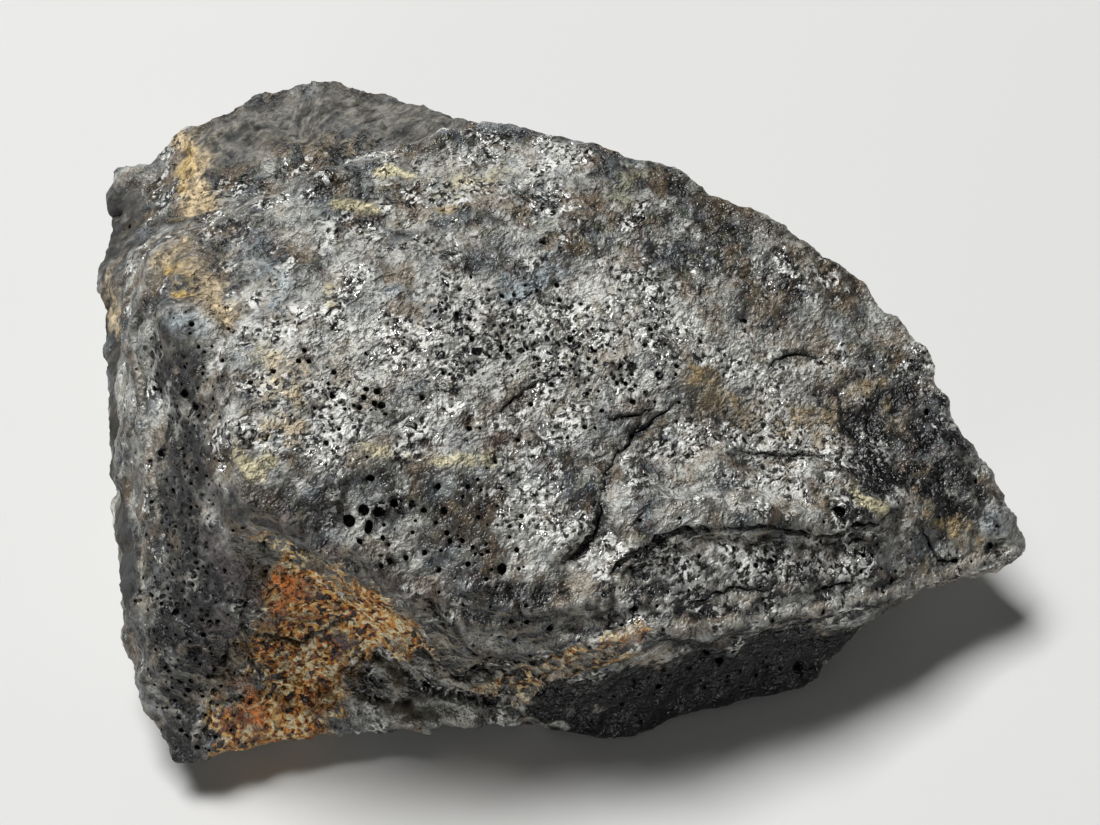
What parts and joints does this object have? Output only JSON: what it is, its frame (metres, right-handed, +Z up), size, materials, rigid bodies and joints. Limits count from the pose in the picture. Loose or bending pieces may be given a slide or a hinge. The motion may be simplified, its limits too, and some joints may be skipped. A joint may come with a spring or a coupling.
{
  "type": "meteorite",
  "caption": "Dark, wedge-shaped stony meteorite with gas pits, an overhanging ledge and a scooped rusty hollow, lying on its broken sole.",
  "frame": {"origin": "middle of the stone's length and depth, on the plane that its sole rests on", "axes": "+X along the length towards the pointed tip, +Y back towards the low shoulder, +Z up from the sole"},
  "size_m": [0.0736, 0.0596, 0.0301],
  "materials": {
    "pitted_stone": "broken, glossy steel-grey stone with rust and ochre stains"
  },
  "bodies": {
    "root": {"meteorite": "pitted_stone"}
  },
  "joints": []
}
